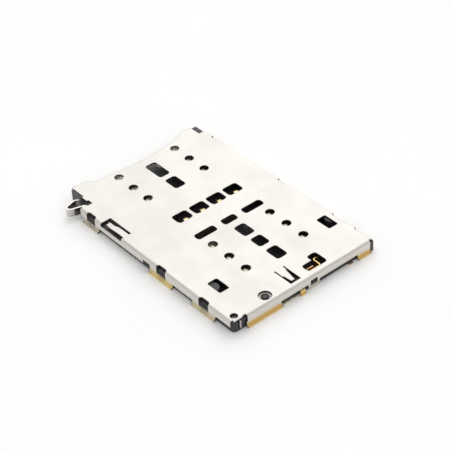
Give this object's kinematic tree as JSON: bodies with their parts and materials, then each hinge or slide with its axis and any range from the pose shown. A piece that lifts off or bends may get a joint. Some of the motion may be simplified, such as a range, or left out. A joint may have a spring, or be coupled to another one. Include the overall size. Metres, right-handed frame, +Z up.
{
  "type": "sim card socket",
  "caption": "Flat tray-type card socket for a circuit board: stamped shell over a moulded base, spring contacts, card-detect switch and a push-rod ejector with a lever.",
  "frame": {"origin": "centre of the shell's length and width, on the board plane under the base", "axes": "+Y from the card mouth to the back wall, +Z up from the board, +X towards the ejector rod"},
  "size_m": [0.0197, 0.0285, 0.0014],
  "materials": {
    "stainless_sheet": "satin",
    "stainless_strip": "satin",
    "black_resin": "fine texture",
    "plated_copper": "bright plating"
  },
  "bodies": {
    "socket": {"shell": "stainless_sheet", "base": "black_resin", "detect_blade": "plated_copper", "detect_terminal": "plated_copper", "sim_contact_1": "plated_copper", "sim_contact_2": "plated_copper", "sim_contact_3": "plated_copper", "sim_contact_4": "plated_copper", "sim_contact_5": "plated_copper", "sim_contact_6": "plated_copper", "sim_contact_7": "plated_copper", "sim_contact_8": "plated_copper", "sim_contact_9": "plated_copper", "sim_contact_10": "plated_copper", "sim_contact_11": "plated_copper", "sim_contact_12": "plated_copper", "memory_contact_1": "plated_copper", "memory_contact_2": "plated_copper", "memory_contact_3": "plated_copper", "memory_contact_4": "plated_copper", "memory_contact_5": "plated_copper", "memory_contact_6": "plated_copper", "memory_contact_7": "plated_copper", "memory_contact_8": "plated_copper", "solder_tab_1": "plated_copper", "solder_tab_2": "plated_copper", "solder_tab_3": "plated_copper"},
    "rod": {"eject_rod": "stainless_strip"},
    "lever": {"eject_lever": "stainless_strip"}
  },
  "joints": [
    {"name": "rod_slide", "type": "slide", "parent": "socket", "child": "rod", "axis": [0, 1, 0], "range_m": [-0.0015, 0]},
    {"name": "lever_pivot", "type": "hinge", "parent": "socket", "child": "lever", "pos_m": [0.00437, 0.0131, 0.00098], "axis": [0, 0, 1], "range_deg": [-22.5, 0]}
  ],
  "couplings": [
    {"joint": "lever_pivot", "follows": "rod_slide", "rad_per_m": 257.73}
  ]
}
